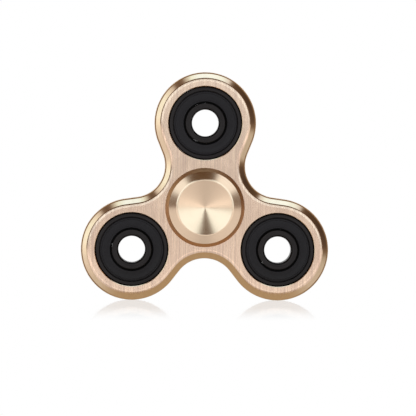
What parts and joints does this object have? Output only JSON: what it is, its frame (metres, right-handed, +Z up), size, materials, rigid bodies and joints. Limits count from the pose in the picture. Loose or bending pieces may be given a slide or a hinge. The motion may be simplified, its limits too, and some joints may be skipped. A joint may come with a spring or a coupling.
{
  "type": "fidget spinner",
  "caption": "Flat tri-lobe aluminium hand spinner that turns on a central ball bearing between two dished finger caps, with a black sealed ball bearing pressed into each lobe.",
  "frame": {"origin": "on the surface the spinner stands on, straight below the hub, midway through its thickness", "axes": "+X to the right and +Z up with one lobe on top; every rotation axis runs along Y, and the front cap faces -Y"},
  "size_m": [0.074, 0.012, 0.0682],
  "materials": {
    "anodised_body": "champagne-gold anodised, flat faces brushed lengthwise, chamfer and wall polished",
    "turned_cap": "champagne-gold anodised, face-turned with fine concentric marks",
    "ring_steel": "blackened bearing steel, satin ground faces",
    "seal_rubber": "moulded black nitrile rubber, satin",
    "cage_nylon": "moulded natural nylon",
    "ball_steel": "polished bearing steel"
  },
  "bodies": {
    "hub": {"front_cap": "turned_cap", "rear_cap": "turned_cap", "centre_inner_ring": "ring_steel"},
    "rotor": {"spinner_body": "anodised_body", "centre_outer_ring": "ring_steel", "centre_front_seal": "seal_rubber", "centre_rear_seal": "seal_rubber", "lobe_1_outer_ring": "ring_steel", "lobe_1_front_seal": "seal_rubber", "lobe_1_rear_seal": "seal_rubber", "lobe_2_outer_ring": "ring_steel", "lobe_2_front_seal": "seal_rubber", "lobe_2_rear_seal": "seal_rubber", "lobe_3_outer_ring": "ring_steel", "lobe_3_front_seal": "seal_rubber", "lobe_3_rear_seal": "seal_rubber"},
    "centre_cage_set": {"centre_cage": "cage_nylon"},
    "centre_ball_1_roller": {"centre_ball_1": "ball_steel"},
    "centre_ball_2_roller": {"centre_ball_2": "ball_steel"},
    "centre_ball_3_roller": {"centre_ball_3": "ball_steel"},
    "centre_ball_4_roller": {"centre_ball_4": "ball_steel"},
    "centre_ball_5_roller": {"centre_ball_5": "ball_steel"},
    "centre_ball_6_roller": {"centre_ball_6": "ball_steel"},
    "centre_ball_7_roller": {"centre_ball_7": "ball_steel"},
    "lobe_1_inner": {"lobe_1_inner_ring": "ring_steel"},
    "lobe_1_cage_set": {"lobe_1_cage": "cage_nylon"},
    "lobe_1_ball_1_roller": {"lobe_1_ball_1": "ball_steel"},
    "lobe_1_ball_2_roller": {"lobe_1_ball_2": "ball_steel"},
    "lobe_1_ball_3_roller": {"lobe_1_ball_3": "ball_steel"},
    "lobe_1_ball_4_roller": {"lobe_1_ball_4": "ball_steel"},
    "lobe_1_ball_5_roller": {"lobe_1_ball_5": "ball_steel"},
    "lobe_1_ball_6_roller": {"lobe_1_ball_6": "ball_steel"},
    "lobe_1_ball_7_roller": {"lobe_1_ball_7": "ball_steel"},
    "lobe_2_inner": {"lobe_2_inner_ring": "ring_steel"},
    "lobe_2_cage_set": {"lobe_2_cage": "cage_nylon"},
    "lobe_2_ball_1_roller": {"lobe_2_ball_1": "ball_steel"},
    "lobe_2_ball_2_roller": {"lobe_2_ball_2": "ball_steel"},
    "lobe_2_ball_3_roller": {"lobe_2_ball_3": "ball_steel"},
    "lobe_2_ball_4_roller": {"lobe_2_ball_4": "ball_steel"},
    "lobe_2_ball_5_roller": {"lobe_2_ball_5": "ball_steel"},
    "lobe_2_ball_6_roller": {"lobe_2_ball_6": "ball_steel"},
    "lobe_2_ball_7_roller": {"lobe_2_ball_7": "ball_steel"},
    "lobe_3_inner": {"lobe_3_inner_ring": "ring_steel"},
    "lobe_3_cage_set": {"lobe_3_cage": "cage_nylon"},
    "lobe_3_ball_1_roller": {"lobe_3_ball_1": "ball_steel"},
    "lobe_3_ball_2_roller": {"lobe_3_ball_2": "ball_steel"},
    "lobe_3_ball_3_roller": {"lobe_3_ball_3": "ball_steel"},
    "lobe_3_ball_4_roller": {"lobe_3_ball_4": "ball_steel"},
    "lobe_3_ball_5_roller": {"lobe_3_ball_5": "ball_steel"},
    "lobe_3_ball_6_roller": {"lobe_3_ball_6": "ball_steel"},
    "lobe_3_ball_7_roller": {"lobe_3_ball_7": "ball_steel"}
  },
  "joints": [
    {"name": "rotor_spin", "type": "hinge", "parent": "hub", "child": "rotor", "pos_m": [0, 0, 0.0278], "axis": [0, 1, 0], "continuous": true},
    {"name": "centre_cage_spin", "type": "hinge", "parent": "hub", "child": "centre_cage_set", "pos_m": [0, 0, 0.0278], "axis": [0, 1, 0], "continuous": true},
    {"name": "centre_ball_1_roll", "type": "hinge", "parent": "centre_cage_set", "child": "centre_ball_1_roller", "pos_m": [0.0075, 0, 0.0278], "axis": [0, 1, 0], "continuous": true},
    {"name": "centre_ball_2_roll", "type": "hinge", "parent": "centre_cage_set", "child": "centre_ball_2_roller", "pos_m": [0.00468, 0, 0.03366], "axis": [0, 1, 0], "continuous": true},
    {"name": "centre_ball_3_roll", "type": "hinge", "parent": "centre_cage_set", "child": "centre_ball_3_roller", "pos_m": [-0.00167, 0, 0.03511], "axis": [0, 1, 0], "continuous": true},
    {"name": "centre_ball_4_roll", "type": "hinge", "parent": "centre_cage_set", "child": "centre_ball_4_roller", "pos_m": [-0.00676, 0, 0.03105], "axis": [0, 1, 0], "continuous": true},
    {"name": "centre_ball_5_roll", "type": "hinge", "parent": "centre_cage_set", "child": "centre_ball_5_roller", "pos_m": [-0.00676, 0, 0.02455], "axis": [0, 1, 0], "continuous": true},
    {"name": "centre_ball_6_roll", "type": "hinge", "parent": "centre_cage_set", "child": "centre_ball_6_roller", "pos_m": [-0.00167, 0, 0.02049], "axis": [0, 1, 0], "continuous": true},
    {"name": "centre_ball_7_roll", "type": "hinge", "parent": "centre_cage_set", "child": "centre_ball_7_roller", "pos_m": [0.00468, 0, 0.02194], "axis": [0, 1, 0], "continuous": true},
    {"name": "lobe_1_ring_spin", "type": "hinge", "parent": "rotor", "child": "lobe_1_inner", "pos_m": [0, 0, 0.053], "axis": [0, 1, 0], "continuous": true},
    {"name": "lobe_1_cage_spin", "type": "hinge", "parent": "rotor", "child": "lobe_1_cage_set", "pos_m": [0, 0, 0.053], "axis": [0, 1, 0], "continuous": true},
    {"name": "lobe_1_ball_1_roll", "type": "hinge", "parent": "lobe_1_cage_set", "child": "lobe_1_ball_1_roller", "pos_m": [0.0075, 0, 0.053], "axis": [0, 1, 0], "continuous": true},
    {"name": "lobe_1_ball_2_roll", "type": "hinge", "parent": "lobe_1_cage_set", "child": "lobe_1_ball_2_roller", "pos_m": [0.00468, 0, 0.05886], "axis": [0, 1, 0], "continuous": true},
    {"name": "lobe_1_ball_3_roll", "type": "hinge", "parent": "lobe_1_cage_set", "child": "lobe_1_ball_3_roller", "pos_m": [-0.00167, 0, 0.06031], "axis": [0, 1, 0], "continuous": true},
    {"name": "lobe_1_ball_4_roll", "type": "hinge", "parent": "lobe_1_cage_set", "child": "lobe_1_ball_4_roller", "pos_m": [-0.00676, 0, 0.05625], "axis": [0, 1, 0], "continuous": true},
    {"name": "lobe_1_ball_5_roll", "type": "hinge", "parent": "lobe_1_cage_set", "child": "lobe_1_ball_5_roller", "pos_m": [-0.00676, 0, 0.04975], "axis": [0, 1, 0], "continuous": true},
    {"name": "lobe_1_ball_6_roll", "type": "hinge", "parent": "lobe_1_cage_set", "child": "lobe_1_ball_6_roller", "pos_m": [-0.00167, 0, 0.04569], "axis": [0, 1, 0], "continuous": true},
    {"name": "lobe_1_ball_7_roll", "type": "hinge", "parent": "lobe_1_cage_set", "child": "lobe_1_ball_7_roller", "pos_m": [0.00468, 0, 0.04714], "axis": [0, 1, 0], "continuous": true},
    {"name": "lobe_2_ring_spin", "type": "hinge", "parent": "rotor", "child": "lobe_2_inner", "pos_m": [-0.02182, 0, 0.0152], "axis": [0, 1, 0], "continuous": true},
    {"name": "lobe_2_cage_spin", "type": "hinge", "parent": "rotor", "child": "lobe_2_cage_set", "pos_m": [-0.02182, 0, 0.0152], "axis": [0, 1, 0], "continuous": true},
    {"name": "lobe_2_ball_1_roll", "type": "hinge", "parent": "lobe_2_cage_set", "child": "lobe_2_ball_1_roller", "pos_m": [-0.01432, 0, 0.0152], "axis": [0, 1, 0], "continuous": true},
    {"name": "lobe_2_ball_2_roll", "type": "hinge", "parent": "lobe_2_cage_set", "child": "lobe_2_ball_2_roller", "pos_m": [-0.01715, 0, 0.02106], "axis": [0, 1, 0], "continuous": true},
    {"name": "lobe_2_ball_3_roll", "type": "hinge", "parent": "lobe_2_cage_set", "child": "lobe_2_ball_3_roller", "pos_m": [-0.02349, 0, 0.02251], "axis": [0, 1, 0], "continuous": true},
    {"name": "lobe_2_ball_4_roll", "type": "hinge", "parent": "lobe_2_cage_set", "child": "lobe_2_ball_4_roller", "pos_m": [-0.02858, 0, 0.01845], "axis": [0, 1, 0], "continuous": true},
    {"name": "lobe_2_ball_5_roll", "type": "hinge", "parent": "lobe_2_cage_set", "child": "lobe_2_ball_5_roller", "pos_m": [-0.02858, 0, 0.01195], "axis": [0, 1, 0], "continuous": true},
    {"name": "lobe_2_ball_6_roll", "type": "hinge", "parent": "lobe_2_cage_set", "child": "lobe_2_ball_6_roller", "pos_m": [-0.02349, 0, 0.00789], "axis": [0, 1, 0], "continuous": true},
    {"name": "lobe_2_ball_7_roll", "type": "hinge", "parent": "lobe_2_cage_set", "child": "lobe_2_ball_7_roller", "pos_m": [-0.01715, 0, 0.00934], "axis": [0, 1, 0], "continuous": true},
    {"name": "lobe_3_ring_spin", "type": "hinge", "parent": "rotor", "child": "lobe_3_inner", "pos_m": [0.02182, 0, 0.0152], "axis": [0, 1, 0], "continuous": true},
    {"name": "lobe_3_cage_spin", "type": "hinge", "parent": "rotor", "child": "lobe_3_cage_set", "pos_m": [0.02182, 0, 0.0152], "axis": [0, 1, 0], "continuous": true},
    {"name": "lobe_3_ball_1_roll", "type": "hinge", "parent": "lobe_3_cage_set", "child": "lobe_3_ball_1_roller", "pos_m": [0.02932, 0, 0.0152], "axis": [0, 1, 0], "continuous": true},
    {"name": "lobe_3_ball_2_roll", "type": "hinge", "parent": "lobe_3_cage_set", "child": "lobe_3_ball_2_roller", "pos_m": [0.0265, 0, 0.02106], "axis": [0, 1, 0], "continuous": true},
    {"name": "lobe_3_ball_3_roll", "type": "hinge", "parent": "lobe_3_cage_set", "child": "lobe_3_ball_3_roller", "pos_m": [0.02015, 0, 0.02251], "axis": [0, 1, 0], "continuous": true},
    {"name": "lobe_3_ball_4_roll", "type": "hinge", "parent": "lobe_3_cage_set", "child": "lobe_3_ball_4_roller", "pos_m": [0.01507, 0, 0.01845], "axis": [0, 1, 0], "continuous": true},
    {"name": "lobe_3_ball_5_roll", "type": "hinge", "parent": "lobe_3_cage_set", "child": "lobe_3_ball_5_roller", "pos_m": [0.01507, 0, 0.01195], "axis": [0, 1, 0], "continuous": true},
    {"name": "lobe_3_ball_6_roll", "type": "hinge", "parent": "lobe_3_cage_set", "child": "lobe_3_ball_6_roller", "pos_m": [0.02015, 0, 0.00789], "axis": [0, 1, 0], "continuous": true},
    {"name": "lobe_3_ball_7_roll", "type": "hinge", "parent": "lobe_3_cage_set", "child": "lobe_3_ball_7_roller", "pos_m": [0.0265, 0, 0.00934], "axis": [0, 1, 0], "continuous": true}
  ],
  "couplings": [
    {"joint": "centre_cage_spin", "follows": "rotor_spin", "ratio": 0.6323},
    {"joint": "centre_ball_1_roll", "follows": "rotor_spin", "ratio": 1.7573},
    {"joint": "centre_ball_2_roll", "follows": "rotor_spin", "ratio": 1.7573},
    {"joint": "centre_ball_3_roll", "follows": "rotor_spin", "ratio": 1.7573},
    {"joint": "centre_ball_4_roll", "follows": "rotor_spin", "ratio": 1.7573},
    {"joint": "centre_ball_5_roll", "follows": "rotor_spin", "ratio": 1.7573},
    {"joint": "centre_ball_6_roll", "follows": "rotor_spin", "ratio": 1.7573},
    {"joint": "centre_ball_7_roll", "follows": "rotor_spin", "ratio": 1.7573},
    {"joint": "lobe_1_cage_spin", "follows": "lobe_1_ring_spin", "ratio": 0.3677},
    {"joint": "lobe_1_ball_1_roll", "follows": "lobe_1_ring_spin", "ratio": -1.7573},
    {"joint": "lobe_1_ball_2_roll", "follows": "lobe_1_ring_spin", "ratio": -1.7573},
    {"joint": "lobe_1_ball_3_roll", "follows": "lobe_1_ring_spin", "ratio": -1.7573},
    {"joint": "lobe_1_ball_4_roll", "follows": "lobe_1_ring_spin", "ratio": -1.7573},
    {"joint": "lobe_1_ball_5_roll", "follows": "lobe_1_ring_spin", "ratio": -1.7573},
    {"joint": "lobe_1_ball_6_roll", "follows": "lobe_1_ring_spin", "ratio": -1.7573},
    {"joint": "lobe_1_ball_7_roll", "follows": "lobe_1_ring_spin", "ratio": -1.7573},
    {"joint": "lobe_2_cage_spin", "follows": "lobe_2_ring_spin", "ratio": 0.3677},
    {"joint": "lobe_2_ball_1_roll", "follows": "lobe_2_ring_spin", "ratio": -1.7573},
    {"joint": "lobe_2_ball_2_roll", "follows": "lobe_2_ring_spin", "ratio": -1.7573},
    {"joint": "lobe_2_ball_3_roll", "follows": "lobe_2_ring_spin", "ratio": -1.7573},
    {"joint": "lobe_2_ball_4_roll", "follows": "lobe_2_ring_spin", "ratio": -1.7573},
    {"joint": "lobe_2_ball_5_roll", "follows": "lobe_2_ring_spin", "ratio": -1.7573},
    {"joint": "lobe_2_ball_6_roll", "follows": "lobe_2_ring_spin", "ratio": -1.7573},
    {"joint": "lobe_2_ball_7_roll", "follows": "lobe_2_ring_spin", "ratio": -1.7573},
    {"joint": "lobe_3_cage_spin", "follows": "lobe_3_ring_spin", "ratio": 0.3677},
    {"joint": "lobe_3_ball_1_roll", "follows": "lobe_3_ring_spin", "ratio": -1.7573},
    {"joint": "lobe_3_ball_2_roll", "follows": "lobe_3_ring_spin", "ratio": -1.7573},
    {"joint": "lobe_3_ball_3_roll", "follows": "lobe_3_ring_spin", "ratio": -1.7573},
    {"joint": "lobe_3_ball_4_roll", "follows": "lobe_3_ring_spin", "ratio": -1.7573},
    {"joint": "lobe_3_ball_5_roll", "follows": "lobe_3_ring_spin", "ratio": -1.7573},
    {"joint": "lobe_3_ball_6_roll", "follows": "lobe_3_ring_spin", "ratio": -1.7573},
    {"joint": "lobe_3_ball_7_roll", "follows": "lobe_3_ring_spin", "ratio": -1.7573}
  ]
}
